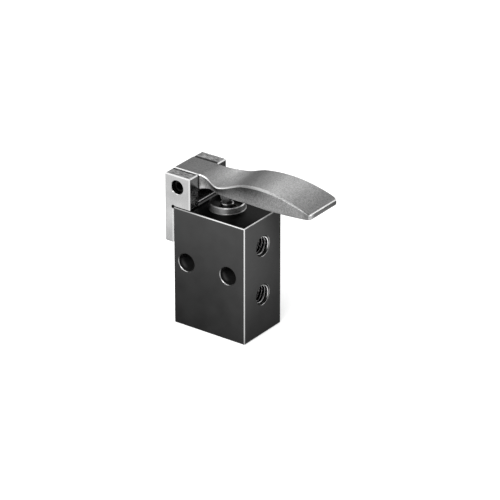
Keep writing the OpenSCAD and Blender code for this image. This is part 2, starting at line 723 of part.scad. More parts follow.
module bottom_plug() {
    neck_d = supply_chamber_d - 2 * o_ring_t;
    guide_z = poppet_tail_z - poppet_travel - 0.3;
    color([0.78, 0.64, 0.34]) difference() {
        union() {
            translate([0, 0, plug_recess + plug_edge])
                cylinder(d = plug_d - 2 * seat_gap, h = plug_l - plug_edge - seat_gap);
            translate([0, 0, plug_recess])
                cylinder(d1 = plug_d - 2 * plug_edge, d2 = plug_d - 2 * seat_gap, h = plug_edge + tiny);
            translate([0, 0, plug_recess + plug_edge])
                cylinder(d = neck_d, h = spring_foot_z - plug_recess - plug_edge);
            // Flange that holds the o-ring and carries the spring
            translate([0, 0, plug_bore_z]) cylinder(d = supply_chamber_d - 0.1, h = foot_t);
        }
        // Guide bore for the poppet's stem
        translate([0, 0, guide_z]) cylinder(d = poppet_stem_d + 2 * run_gap, h = body_h);
        // Hexagon socket
        translate([0, 0, plug_recess - 1]) cylinder(d = plug_hex / cos(30), h = plug_socket_h + 1, $fn = 6);
    }
}

module plug_o_ring() {
    color([0.05, 0.05, 0.05])
        o_ring(supply_chamber_d - 2 * o_ring_t + 2 * seat_gap, supply_chamber_d - 2 * seat_gap,
               plug_top_z + seat_gap);
}

valve_body();
lever_bracket();
bracket_screws();
pivot_pin();
finger_lever();
stem_bushing();
bushing_o_ring();
plunger();
plunger_spring();
spring_washer();
stem_o_ring();
seal_retainer();
spacer_sleeve();
valve_seat();
seat_o_ring();
poppet();
poppet_seal();
poppet_spring();
bottom_plug();
plug_o_ring();
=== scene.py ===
"""Finger lever valve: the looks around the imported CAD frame.

Lengths are in metres for the camera, lights and floor, and in millimetres for the valve's own sizes.
"""
import json
import math
from collections import namedtuple

import bmesh
import bpy
from mathutils import Matrix, Vector


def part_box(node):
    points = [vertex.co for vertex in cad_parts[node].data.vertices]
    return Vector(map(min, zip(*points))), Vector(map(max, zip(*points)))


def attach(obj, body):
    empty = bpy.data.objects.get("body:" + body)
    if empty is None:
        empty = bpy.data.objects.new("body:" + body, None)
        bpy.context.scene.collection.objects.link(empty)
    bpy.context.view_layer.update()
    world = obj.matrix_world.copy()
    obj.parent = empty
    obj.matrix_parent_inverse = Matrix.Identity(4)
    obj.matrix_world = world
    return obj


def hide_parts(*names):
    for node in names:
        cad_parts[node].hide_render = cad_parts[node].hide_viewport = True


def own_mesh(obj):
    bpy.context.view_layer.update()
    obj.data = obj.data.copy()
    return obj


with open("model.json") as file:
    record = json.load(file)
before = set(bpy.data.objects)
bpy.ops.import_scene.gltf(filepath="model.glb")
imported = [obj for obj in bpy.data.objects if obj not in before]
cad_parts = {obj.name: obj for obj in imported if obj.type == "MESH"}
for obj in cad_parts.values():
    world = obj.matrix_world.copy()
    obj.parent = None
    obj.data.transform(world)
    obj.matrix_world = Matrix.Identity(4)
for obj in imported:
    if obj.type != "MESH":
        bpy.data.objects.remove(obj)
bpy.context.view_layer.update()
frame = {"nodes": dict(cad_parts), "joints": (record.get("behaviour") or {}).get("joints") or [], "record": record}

MM = 0.001
nodes = frame["nodes"]
joints = {joint["name"]: joint for joint in frame["joints"]}
scene = bpy.context.scene


def corners(node):
    """Lowest and highest corner of a CAD node, in millimetres."""
    low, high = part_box(node)
    return low / MM, high / MM


# Places read from the frame, in millimetres
body_low, body_high = corners("valve_body")
bracket_low, bracket_high = corners("lever_bracket")
lever_high = corners("finger_lever")[1]
plunger_high = corners("plunger")[1]
pin = Vector(joints["lever_pivot"]["pos_m"]) / MM
mounts = {mount["name"]: mount for mount in frame["record"]["mounts"]}
PORTS = ("supply_port", "outlet_port")


# Camera, at the photograph's viewing angle

VIEW_AZIMUTH = math.radians(35.96)
VIEW_ELEVATION = math.radians(26.26)
VIEW_DISTANCE = 0.756
VIEW_TARGET = Vector((0.00607, 0.0, 0.0194))
FOCAL_PIXELS = 3501.9
IMAGE_PIXELS = 500
SENSOR_MM = 36.0


def direction(azimuth, elevation):
    """Unit vector towards a place seen at that azimuth and elevation; azimuth 0 is the front, -Y."""
    return Vector((math.sin(azimuth) * math.cos(elevation),
                   -math.cos(azimuth) * math.cos(elevation),
                   math.sin(elevation)))


def aim(obj, place, target):
    """Puts an object at a place, its -Z towards the target, with no roll."""
    back = (place - target).normalized()
    side = Vector((0, 0, 1)).cross(back).normalized()
    up = back.cross(side)
    turn = Matrix((side, up, back)).transposed().to_4x4()
    obj.matrix_world = Matrix.Translation(place) @ turn


def make_camera():
    data = bpy.data.cameras.new("camera")
    data.sensor_width = SENSOR_MM
    data.lens = FOCAL_PIXELS * SENSOR_MM / IMAGE_PIXELS
    data.clip_start = 0.01
    data.clip_end = 20
    camera = bpy.data.objects.new("camera", data)
    scene.collection.objects.link(camera)
    aim(camera, VIEW_TARGET + VIEW_DISTANCE * direction(VIEW_AZIMUTH, VIEW_ELEVATION), VIEW_TARGET)
    scene.camera = camera


# Light, floor and background

# Direction from the valve, width, height, radiance and distance of each light
LIGHTS = {
    "key_light": ((-0.53, -0.44, 0.73), 0.25, 0.22, 2.3, 0.4),
    "crown_light": ((-0.3, 0.703, 0.644), 0.045, 0.05, 2.2, 0.16),
    "rim_light": ((0.44, 0.73, 0.53), 0.2, 0.2, 1.8, 0.4),
    "collar_light": ((0.114, -0.811, 0.574), 0.22, 0.1, 11.0, 0.3),
}


def make_lights():
    """Soft area lights aimed at the valve."""
    for name, (toward, width, height, radiance, distance) in LIGHTS.items():
        data = bpy.data.lights.new(name, "AREA")
        data.shape = "RECTANGLE"
        data.size = width
        data.size_y = height
        data.energy = radiance * math.pi * width * height
        light = bpy.data.objects.new(name, data)
        scene.collection.objects.link(light)
        aim(light, VIEW_TARGET + distance * Vector(toward).normalized(), VIEW_TARGET)


class Nodes:
    """Short ways to add, link and set the nodes of one tree."""

    def __init__(self, tree):
        self.tree = tree

    def add(self, kind, **settings):
        node = self.tree.nodes.new(kind)
        for key, value in settings.items():
            setattr(node, key, value)
        return node

    def link(self, source, target):
        self.tree.links.new(source, target)

    def math(self, operation, first, second=None, third=None, clamp=False):
        node = self.add("ShaderNodeMath", operation=operation, use_clamp=clamp)
        for socket, value in zip(node.inputs, (first, second, third)):
            if value is None:
                continue
            if isinstance(value, (int, float)):
                socket.default_value = value
            else:
                self.link(value, socket)
        return node.outputs[0]

    def minus(self, first, second):
        return self.math("SUBTRACT", first, second)

    def above(self, source, limit):
        return self.math("GREATER_THAN", source, limit)

    def below(self, source, limit):
        return self.math("LESS_THAN", source, limit)

    def product(self, first, *others):
        """Product of several values."""
        for value in others:
            first = self.math("MULTIPLY", first, value)
        return first

    def most(self, first, *others):
        """Largest of several values."""
        for value in others:
            first = self.math("MAXIMUM", first, value)
        return first

    def length(self, first, second):
        """Length of a line with these two parts at right angles."""
        return self.math("SQRT", self.math("ADD", self.product(first, first), self.product(second, second)))

    def dot(self, source, vector):
        """Distance along a direction."""
        node = self.add("ShaderNodeVectorMath", operation="DOT_PRODUCT")
        self.link(source, node.inputs[0])
        node.inputs[1].default_value = vector
        return node.outputs["Value"]

    def emission(self, strength):
        node = self.add("ShaderNodeEmission")
        node.inputs["Color"].default_value = (1, 1, 1, 1)
        if isinstance(strength, (int, float)):
            node.inputs["Strength"].default_value = strength
        else:
            self.link(strength, node.inputs["Strength"])
        return node.outputs[0]

    def mix_shader(self, fac, first, second):
        node = self.add("ShaderNodeMixShader")
        self.link(fac, node.inputs["Fac"])
        self.link(first, node.inputs[1])
        self.link(second, node.inputs[2])
        return node.outputs[0]


AMBIENT = 0.55


def make_world():
    """White behind the valve, and a softer white that lights it."""
    world = bpy.data.worlds.new("studio")
    scene.world = world
    world.use_nodes = True
    nodes = Nodes(world.node_tree)
    nodes.tree.nodes.clear()
    output = nodes.add("ShaderNodeOutputWorld")
    path = nodes.add("ShaderNodeLightPath")
    backgrounds = []
    for strength in (AMBIENT, 1.0):
        background = nodes.add("ShaderNodeBackground")
        background.inputs["Color"].default_value = (1, 1, 1, 1)
        background.inputs["Strength"].default_value = strength
        backgrounds.append(background.outputs[0])
    nodes.link(nodes.mix_shader(path.outputs["Is Camera Ray"], *backgrounds), output.inputs["Surface"])


FLOOR_SIZE = 6.0
FLOOR_MATTE = 0.82
FLOOR_GLOW = 0.45
# What the valve mirrors of the floor, a painted grade of light and shade, by the place in mm seen from above:
# ALONG runs away from the block to the right and back, AHEAD across that to the right and front, and FORWARD
# straight to the front.
ALONG = (0.588 / MM, 0.81 / MM, 0.0)
AHEAD = (0.81 / MM, -0.588 / MM, 0.0)
FORWARD = (0.0, -1.0 / MM, 0.0)
# In front of the block it is dark close by as a painted shadow, and lighter with the distance ahead and forward
FRONT_NEAR = 0.05
FRONT_FORWARD = 0.0004
FRONT_AHEAD = 0.013
AHEAD_START = -5.0
# Behind the block it grows lighter with the distance, ahead of a line that leaves ALONG at a slope
BEHIND_NEAR = 0.18
BEHIND_GROWTH = 0.00006
BEHIND_SLOPE = 0.08
# Width of the change from front to behind, the lighter floor further ahead, and the lightest tone
SIDE_RUN = 8.0
BEYOND_START = 11.0
BEYOND_RUN = 4.0
BEYOND_MORE = 0.5
MIRROR_MOST = 1.45


def painted_mirror_shade(nodes):
    """Painted light and shade: how bright the valve mirrors each place on the floor."""
    place = nodes.add("ShaderNodeNewGeometry").outputs["Position"]
    along, ahead, forward = [nodes.dot(place, way) for way in (ALONG, AHEAD, FORWARD)]
    front = nodes.math("MULTIPLY_ADD", nodes.product(forward, forward), FRONT_FORWARD, FRONT_NEAR)
    front = nodes.math("MULTIPLY_ADD", nodes.most(nodes.minus(ahead, AHEAD_START), 0.0), FRONT_AHEAD, front)
    beside = nodes.most(nodes.math("MULTIPLY_ADD", along, -BEHIND_SLOPE, ahead), 0.0)
    behind = nodes.math("MULTIPLY_ADD", nodes.product(along, along, beside), BEHIND_GROWTH, BEHIND_NEAR)
    side = nodes.math("MULTIPLY_ADD", along, 1 / SIDE_RUN, 0.5, clamp=True)
    grade = nodes.math("MULTIPLY_ADD", nodes.minus(behind, front), side, front)
    beyond = nodes.math("MULTIPLY_ADD", ahead, 1 / BEYOND_RUN, -BEYOND_START / BEYOND_RUN, clamp=True)
    return nodes.math("MINIMUM", nodes.math("MULTIPLY_ADD", beyond, BEYOND_MORE, grade), MIRROR_MOST)


def make_floor():
    """White floor that takes the valve's shadow, and that its faces mirror in a painted grade of tones."""
    bpy.ops.mesh.primitive_plane_add(size=FLOOR_SIZE, location=(0, 0, body_low.z * MM))
    floor = bpy.context.object
    floor.name = "floor"
    material = bpy.data.materials.new("floor")
    material.use_nodes = True
    material.cycles.emission_sampling = "NONE"
    nodes = Nodes(material.node_tree)
    nodes.tree.nodes.clear()
    output = nodes.add("ShaderNodeOutputMaterial")
    matte = nodes.add("ShaderNodeBsdfDiffuse")
    matte.inputs["Color"].default_value = (FLOOR_MATTE, FLOOR_MATTE, FLOOR_MATTE, 1)
    lit = nodes.add("ShaderNodeAddShader")
    nodes.link(matte.outputs[0], lit.inputs[0])
    nodes.link(nodes.emission(FLOOR_GLOW), lit.inputs[1])
    # Painted light and shade that the valve's faces mirror, dark by the block
    mirrored = nodes.emission(painted_mirror_shade(nodes))
    path = nodes.add("ShaderNodeLightPath")
    glossy = nodes.most(path.outputs["Is Glossy Ray"], path.outputs["Is Transmission Ray"])
    unseen = nodes.mix_shader(glossy, matte.outputs[0], mirrored)
    seen = nodes.mix_shader(path.outputs["Is Camera Ray"], unseen, lit.outputs[0])
    nodes.link(seen, output.inputs["Surface"])
    floor.data.materials.append(material)


# Materials

# The Mix node's sockets for the factor, the two colours and the result
MIX_FACTOR = 0
MIX_FIRST = 6
MIX_SECOND = 7
MIX_RESULT = 2


class Shader(Nodes):
    """A Principled material whose colour, roughness and bump come from its nodes."""

    def __init__(self, name, roughness=0.4, metallic=0.0):
        self.material = bpy.data.materials.new(name)
        self.material.use_nodes = True
        super().__init__(self.material.node_tree)
        self.bsdf = self.tree.nodes["Principled BSDF"]
        self.bsdf.inputs["Roughness"].default_value = roughness
        self.bsdf.inputs["Metallic"].default_value = metallic
        self.place = self.add("ShaderNodeTexCoord").outputs["Object"]

    def split(self, vector):
        node = self.add("ShaderNodeSeparateXYZ")
        self.link(vector, node.inputs[0])
        return node.outputs[0], node.outputs[1], node.outputs[2]

    def axes(self):
        """X, Y and Z of the place in object space, in metres."""
        return self.split(self.place)

    def facing(self):
        """X, Y and Z of the flat face's normal."""
        return self.split(self.add("ShaderNodeNewGeometry").outputs["True Normal"])

    def layer(self, name):
        """Value that the mesh holds under a name."""
        return self.add("ShaderNodeAttribute", attribute_name=name).outputs["Fac"]

    def noise(self, scale, detail=2.0, stretch=(1, 1, 1), roughness=0.5):
        """Noise in object space; scale is in cells a metre, stretch lengthens the cells."""
        mapping = self.add("ShaderNodeMapping")
        mapping.inputs["Scale"].default_value = [scale / s for s in stretch]
        self.link(self.place, mapping.inputs["Vector"])
        noise = self.add("ShaderNodeTexNoise")
        noise.inputs["Scale"].default_value = 1.0
        noise.inputs["Detail"].default_value = detail
        noise.inputs["Roughness"].default_value = roughness
        self.link(mapping.outputs[0], noise.inputs["Vector"])
        return noise.outputs["Fac"]

    def ramp(self, source, stops):
        node = self.add("ShaderNodeValToRGB")
        elements = node.color_ramp.elements
        while len(elements) < len(stops):
            elements.new(0.5)
        for element, (position, value) in zip(elements, stops):
            element.position = position
            element.color = (value, value, value, 1) if isinstance(value, (int, float)) else (*value, 1)
        self.link(source, node.inputs["Fac"])
        return node.outputs["Color"]

    def mix(self, fac, first, second):
        node = self.add("ShaderNodeMix", data_type="RGBA")
        for place, value in ((MIX_FACTOR, fac), (MIX_FIRST, first), (MIX_SECOND, second)):
            socket = node.inputs[place]
            if isinstance(value, (int, float)):
                socket.default_value = value
            elif isinstance(value, tuple):
                socket.default_value = (*value, 1)
            else:
                self.link(value, socket)
        return node.outputs[MIX_RESULT]

    def past(self, source, start, end, value):
        """1 until the source passes start, the value once it has passed end."""
        return self.math("MULTIPLY_ADD", self.span(source, start, end, 0.0, 1.0), self.minus(value, 1.0), 1.0)

    def tinted(self, first, second):
        """Product of two colours."""
        node = self.add("ShaderNodeMix", data_type="RGBA", blend_type="MULTIPLY")
        node.inputs[MIX_FACTOR].default_value = 1.0
        self.link(first, node.inputs[MIX_FIRST])
        self.link(second, node.inputs[MIX_SECOND])
        return node.outputs[MIX_RESULT]

    def colour(self, source):
        self.link(source, self.bsdf.inputs["Base Color"])

    def span(self, source, start, end, low, high):
        """Value that goes from low to high as the source goes from start to end."""
        node = self.add("ShaderNodeMapRange")
        for key, value in (("From Min", start), ("From Max", end), ("To Min", low), ("To Max", high)):
            node.inputs[key].default_value = value
        self.link(source, node.inputs["Value"])
        return node.outputs[0]

    def along(self, axis, start, end, low, high):
        """The same along an axis, from start to end in millimetres."""
        return self.span(axis, start * MM, end * MM, low, high)

    def rough(self, source, low, high):
        """Roughness that follows a texture between two values."""
        self.link(self.span(source, 0.0, 1.0, low, high), self.bsdf.inputs["Roughness"])

    def bump(self, source, distance, strength=1.0):
        node = self.add("ShaderNodeBump")
        node.inputs["Distance"].default_value = distance
        node.inputs["Strength"].default_value = strength
        self.link(source, node.inputs["Height"])
        self.link(node.outputs[0], self.bsdf.inputs["Normal"])


def grey(value):
    return (value, value, value)


# Widths of the broken edges: along the block, and round its mounting holes and ports
BODY_EDGE = 0.25 * MM
MOUTH_EDGE = 0.12 * MM
PORT_EDGE = 0.06 * MM
# How far past its true limits a chamfer counts, the part of it that is bare and painted bright as a highlight
# line, and where its lower part starts
CHAMFER_REACH = 1.04
RIM_REACH = 1.0048
BARE_SHARE = 0.72
LOWER_REACH = 1.15
LOWER_START = -0.25
# How bright the bare metal of a broken edge is, by its place on the block, set as painted highlights
FRONT_EDGE_TONE = 0.72
TOP_RIGHT_TONE = 1.0
TOP_FRONT_TONE = 0.42
MOUTH_TONE = 0.38
PORT_MOUTH_TONE = 0.6
# A fade is a start and an end in mm with the values there. These are shares of an edge's tone along Y and X:
# painted shade towards the back of the top right edge, and under the bracket on the top front edge
TOP_RIGHT_FADE = (-6, 1, 1.0, 0.2)
TOP_FRONT_FADE = (-5.5, 0.2, 0.45, 1.0)
# Painted highlights on a mounting hole's rim and wall, on the lower left where the light reaches. Its fades run in
# shares of the radius
HOLE_LIT_X = 0.83
HOLE_LIT_Z = 0.55
HOLE_RIM_FADE = (-0.3, -0.85, 0.02, 1.0)
HOLE_WALL_FADE = (-0.75, -1.0, 0.0, 1.0)
WALL_REACH = 1.01
# The painted glow on that wall begins and ends at depths under the front
HOLE_GLOW_TONE = 0.075
GLOW_BEGINS = (0.5, 1.2, 0.0, 1.0)
GLOW_ENDS = (1.3, 2.3, 1.0, 0.0)
# Painted highlight on a port's rim, at the back and below where the light reaches
PORT_LIT_Z = -0.5
PORT_RIM_FADE = (0, 1.8, 0.05, 1.0)
# Painted shade: how much of its colour and of the surroundings the block mirrors, less on the top and left faces,
# and on the upper back
TOP_MIRROR = (0, 0.08, 0.1, 1.0)
LEFT_MIRROR = (0.15, 0.3, 0.1, 1.0)
UPPER_BACK_MIRROR = (-2, 7, 1.0, 0.6)
UPPER_BACK_SLANT = 2.0
FULL_SPECULAR = 0.5
# From this tone on an edge is bare metal, and the top right edge is half as metallic
BARE_METAL = 0.02
TOP_RIGHT_DULLED = 0.5


def depth_under(shader, coordinate, face, sign):
    """Depth under a face of the block, in metres."""
    return shader.product(shader.minus(face, coordinate), sign)


def broken_edge(shader, first, second, tone):
    """The tone on the middle of the chamfer between two faces of the block, 0 elsewhere."""
    on = shader.below(shader.math("ADD", first, second), BODY_EDGE * CHAMFER_REACH)
    off_middle = shader.math("ABSOLUTE", shader.minus(first, second))
    return shader.product(on, shader.below(off_middle, BODY_EDGE * BARE_SHARE), tone)


def lower_edge(shader, front, top, tone):
    """The tone on the lower part of the chamfer between the front and the top, 0 elsewhere: a painted highlight,
    with the upper part left dark as painted shade.
    """
    on = shader.below(shader.math("ADD", front, top), BODY_EDGE * LOWER_REACH)
    low = shader.above(shader.minus(top, front), BODY_EDGE * LOWER_START)
    return shader.product(on, low, tone)


def mouth_rim(shader, radius, depth, outer_r, tone):
    """The painted highlight tone on the chamfer round a hole's mouth, 0 elsewhere."""
    return shader.product(shader.below(shader.math("ADD", radius, depth), outer_r * RIM_REACH), tone)


def edge_wear_and_highlights(shader, x, y, front, right, top):
    """Painted highlight lines on the three long edges, as bare metal, faded by place as painted shade."""
    front_right = broken_edge(shader, front, right, FRONT_EDGE_TONE)
    top_right = broken_edge(shader, right, top, TOP_RIGHT_TONE)
    top_front = lower_edge(shader, front, top, TOP_FRONT_TONE)
    return [front_right, shader.product(shader.along(y, *TOP_RIGHT_FADE), top_right),
            shader.product(shader.along(x, *TOP_FRONT_FADE), top_front)]


def mounting_hole_highlights(shader, x, z, front):
    """Painted highlights on the mounting holes' rims, and a painted glow on their walls."""
    pattern = mounts["mounting_holes"]
    middle_x, _, middle_z = pattern["pos_m"]
    half_spacing = pattern["dims"]["spacing_x_mm"] * MM / 2
    hole_r = pattern["dims"]["hole_r_mm"] * MM
    up = shader.minus(z, middle_z)
    rim_highlights, painted_glow = [], []
    for side in (-1, 1):
        across = shader.minus(x, middle_x + side * half_spacing)
        radius = shader.length(across, up)
        sideways = shader.product(across, HOLE_LIT_X / hole_r)
        toward = shader.math("MULTIPLY_ADD", up, HOLE_LIT_Z / hole_r, sideways)
        rim = mouth_rim(shader, radius, front, hole_r + MOUTH_EDGE, MOUTH_TONE)
        rim_highlights.append(shader.product(shader.span(toward, *HOLE_RIM_FADE), rim))
        wall = shader.below(radius, WALL_REACH * hole_r)
        deep = shader.product(shader.along(front, *GLOW_BEGINS), shader.along(front, *GLOW_ENDS))
        painted_glow.append(shader.product(wall, deep, shader.span(toward, *HOLE_WALL_FADE), HOLE_GLOW_TONE))
    return rim_highlights, painted_glow


def port_rim_highlights(shader, y, z, right):
    """Painted highlights on the ports' rims."""
    rim_highlights = []
    for name in PORTS:
        up = shader.minus(z, mounts[name]["pos_m"][2])
        outer_r = mounts[name]["dims"]["r_mm"] * MM + PORT_EDGE
        lit = shader.along(shader.math("MULTIPLY_ADD", up, PORT_LIT_Z, y), *PORT_RIM_FADE)
        rim = mouth_rim(shader, shader.length(y, up), right, outer_r, PORT_MOUTH_TONE)
        rim_highlights.append(shader.product(lit, rim))
    return rim_highlights


def black_anodised():
    """Satin black block with a fine grain, with its bare edges and rims painted bright as highlights and painted
    shade on some faces.
    """
    shader = Shader("black_anodised")
    x, y, z = shader.axes()
    front = depth_under(shader, y, body_low.y * MM, -1)
    left = depth_under(shader, x, body_low.x * MM, -1)
    right = depth_under(shader, x, body_high.x * MM, 1)
    top = depth_under(shader, z, body_high.z * MM, 1)
    # Bare edges painted bright as highlight lines, faded as painted shade
    wear_and_highlight_lines = edge_wear_and_highlights(shader, x, y, front, right, top)
    # Painted highlights on the hole and port rims, and a painted glow in the mounting holes
    rim_highlights, painted_glow = mounting_hole_highlights(shader, x, z, front)
    tone = shader.most(*wear_and_highlight_lines, *rim_highlights, *port_rim_highlights(shader, y, z, right))
    grain = shader.noise(9000, detail=3)
    black = shader.ramp(shader.noise(260, detail=2), [(0.3, 0.009), (0.7, 0.015)])
    # Painted shade: the top, left and upper back are dimmed in colour and in what they mirror
    over_back = shader.minus(shader.product(y, UPPER_BACK_SLANT), top)
    painted_dimming = shader.math("MINIMUM", shader.along(top, *TOP_MIRROR), shader.along(left, *LEFT_MIRROR))
    painted_dimming = shader.math("MINIMUM", painted_dimming, shader.along(over_back, *UPPER_BACK_MIRROR))
    shader.colour(shader.most(tone, shader.product(black, painted_dimming), *painted_glow))
    shader.link(shader.product(painted_dimming, FULL_SPECULAR), shader.bsdf.inputs["Specular IOR Level"])
    bare_metal = shader.above(tone, BARE_METAL)
    dulled = shader.product(broken_edge(shader, right, top, TOP_RIGHT_DULLED), bare_metal)
    shader.link(shader.minus(bare_metal, dulled), shader.bsdf.inputs["Metallic"])
    shader.rough(grain, 0.26, 0.4)
    shader.bump(grain, 0.000004, 0.5)
    return shader.material


# Thickness of the bracket's floor over the block, and half the width of the slot between its cheeks
FLOOR_T = 1.15
SLOT_HALF_Y = 3.65
# Fades over the height above the block in mm: the bracket is painted lighter at its foot, and the ends of its
# cheeks are painted darker upwards as shade, where they face the lever's root
FOOT_FADE = (-1.5, 2.5, 1.36, 0.99)
CHEEK_END_FADE = (2, 5, 1.0, 0.1)
CHEEK_END_L = 0.1
CHEEK_END_FACING = 0.9
# Fades over the upward part of a face's normal: painted a little darker on top as shade, and speckled there,
# the tone of the broken edges on the sides and on top, bare and painted bright as highlights, and the painted
# shade on those that look down on the block
TOPSIDE_FADE = (0.9, 0.95, 1.0, 0.95)
SPECKLE_STARTS = (0.9, 1.0)
EDGE_FADE = (0.3, 0.6, 0.56, 0.36)
FOOT_SHADE_FADE = (-0.4, -0.2, 0.04, 1.0)
# A face is slanted when no part of its normal reaches this
SLANT_LIMIT = 0.8
# The bright edges end at the pin's hole, whose wall is painted dark as shade
PIN_CLEAR_R = 1.75
PIN_WALL_R = 1.62
PIN_WALL_FACING = 0.3
PIN_WALL_TONE = 0.05
# Painted shade along the slot's upper edges, a dark strip: its width and depth, and its share of the tone
SLOT_SHADE_W = 0.55
SLOT_SHADE_DEPTH = 0.05
SLOT_SHADE_SHARE = 0.12
# The front end of the slot's floor: a light line painted on it as a highlight, over an end that is painted dark
# just under it as shade and greyer lower down
SILL_HALF_Y = 3.6
SILL_LENGTH = 0.25
SILL_ABOVE = 0.02
SILL_BELOW = 0.03
SILL_TONE = 0.8
SILL_END_FADE = (-0.35, -0.55, 0.02, 0.2)


def bracket_metal():
    """Bare metal with a fine vertical grind, with painted light and shade: darker on top and in its hollows,
    brighter on its edges.
    """
    shader = Shader("bracket_metal", metallic=1.0)
    x, y, z = shader.axes()
    facing = shader.facing()
    slopes = [shader.math("ABSOLUTE", part) for part in facing]
    off_middle = shader.math("ABSOLUTE", y)
    over_block = shader.minus(z, body_high.z * MM)
    over_floor = shader.minus(z, (body_high.z + FLOOR_T) * MM)
    from_pin = shader.length(shader.minus(x, pin.x * MM), shader.minus(z, pin.z * MM))
    at_end = shader.above(x, (bracket_high.x - CHEEK_END_L) * MM)

    grind = shader.noise(14000, detail=2, stretch=(1, 1, 40))
    grit = shader.noise(6000, detail=3, roughness=0.6)
    tone = shader.ramp(shader.noise(500, detail=3), [(0.25, 0.42), (0.75, 0.48)])
    tone = shader.tinted(tone, shader.ramp(grit, [(0.3, 0.9), (0.7, 1.0)]))
    # Painted light: lighter towards the foot
    tone = shader.tinted(tone, shader.along(over_block, *FOOT_FADE))
    coarse = shader.noise(2200, detail=4, stretch=(2.5, 1, 1), roughness=0.7)
    speckle = shader.past(facing[2], *SPECKLE_STARTS, shader.span(coarse, 0.38, 0.62, 0.4, 1.6))
    # Painted shade along the slot's upper edges
    slot_shade = shader.product(shader.below(off_middle, (SLOT_HALF_Y + SLOT_SHADE_W) * MM),
                          shader.above(z, (bracket_high.z - SLOT_SHADE_DEPTH) * MM))
    # Painted shade: a little darker on top
    topside = shader.product(shader.span(facing[2], *TOPSIDE_FADE), speckle,
                             shader.math("MULTIPLY_ADD", slot_shade, SLOT_SHADE_SHARE - 1, 1.0))

    # Broken edges: bare, painted bright as highlights, and painted dark as shade where they look down on the block
    edge = shader.product(shader.below(shader.most(*slopes), SLANT_LIMIT),
                          shader.above(from_pin, PIN_CLEAR_R * MM))
    edge_tone = shader.product(shader.span(facing[2], *EDGE_FADE), shader.span(facing[2], *FOOT_SHADE_FADE))
    colour = shader.mix(edge, shader.tinted(tone, topside), edge_tone)
    # Painted shade on the wall of the pin's hole
    pin_wall_shade = shader.product(shader.below(from_pin, PIN_WALL_R * MM),
                              shader.below(slopes[1], PIN_WALL_FACING))
    colour = shader.mix(pin_wall_shade, colour, grey(PIN_WALL_TONE))
    # Painted shade up the ends of the cheeks
    cheek_end = shader.product(shader.above(facing[0], CHEEK_END_FACING), at_end)
    colour = shader.mix(cheek_end, colour, shader.along(over_block, *CHEEK_END_FADE))

    # Painted highlight on the sill, over a painted dark to grey end face
    floor_end = shader.product(shader.above(x, (bracket_high.x - SILL_LENGTH) * MM),
                               shader.below(off_middle, SILL_HALF_Y * MM),
                               shader.below(over_floor, SILL_ABOVE * MM))
    sill = shader.product(floor_end, shader.above(over_floor, -SILL_BELOW * MM))
    colour = shader.mix(floor_end, colour, shader.along(over_floor, *SILL_END_FADE))
    shader.colour(shader.mix(sill, colour, grey(SILL_TONE)))
    shader.link(shader.minus(1.0, floor_end), shader.bsdf.inputs["Metallic"])
    shader.rough(grind, 0.2, 0.32)
    shader.bump(grind, 0.000003, 0.5)
    return shader.material


EDGE_LAYER = "painted_edge_highlight"
TONE_LAYER = "painted_side_shading"
LEVER_EDGE_TONE = 0.95
# Painted light and shade on the lever's top along X, in mm: darker at the root and on the rise, bright in the dip
TOP_LIGHT_AND_SHADE = [(-10, 0.9), (-8, 0.95), (-5, 0.97), (-3.5, 0.77), (-2, 0.85), (-1, 1.03), (0, 1.42), (1, 1.98),
             (2, 2.0), (3, 1.92), (4, 1.62), (5, 1.2), (6, 0.85), (7, 0.74), (8, 0.82), (9, 1.05), (10, 1.27),
             (12, 1.3), (14, 1.32), (16, 1.14), (18, 1.05), (20, 1.03), (22, 1.24), (25, 1.15)]
# The tones on top run at a slant: they come this much earlier for each mm towards the back
TOP_SLANT = 0.2
# Painted light and shade on its sides along X, under the bevel and at the lower edge
SIDE_LIGHT_AND_SHADE = [(-6, 1.0, 1.0), (-5.4, 0.15, 0.15), (-5.1, 0.15, 0.15), (-4.8, 3.4, 3.5), (-4.2, 3.5, 3.6),
              (-3.2, 3.1, 3.3), (-2.2, 2.4, 3.0), (-1, 0.8, 2.2), (0.6, 0.22, 1.4), (2, 0.3, 1.0),
              (4, 0.4, 0.8), (6, 0.22, 0.76), (8, 0.14, 0.76), (10, 0.22, 0.88), (12, 0.37, 0.95),
              (14, 0.74, 0.97), (16, 0.92, 1.0), (23.4, 0.93, 1.0), (24.3, 0.55, 0.6), (24.75, 0.6, 0.65),
              (25.05, 1.6, 1.8)]
# The depths under the lever's top where the upper tone ends and where the lower one starts
UPPER_TONE_DEPTH = 0.8
LOWER_TONE_DEPTH = 3.6
# Painted highlights on its upper edges along X, as shares of the edge tone: most in the dip
EDGE_HIGHLIGHTS = [(-5.2, 0.28), (-3, 0.3), (0.7, 0.62), (3.3, 0.45), (7, 0.12), (9, 0.1), (12.5, 0.17), (17, 0.0)]
# The fade along Y on its end face, from the near corner on: a painted highlight at the corner over a darker end
END_FADE = (-4.7, -3.4, 1.4, 0.42)
# The parts of the normal from which a face counts as the end or as the top
END_FACING = (0.6, 0.75)
TOP_FACING = (0.78, 0.84)
# Painted shade on the rib under the lever: its tone at its nose, and where it meets the lever
NOSE_TONE = 0.12
RIB_TOP_TONE = 1.6


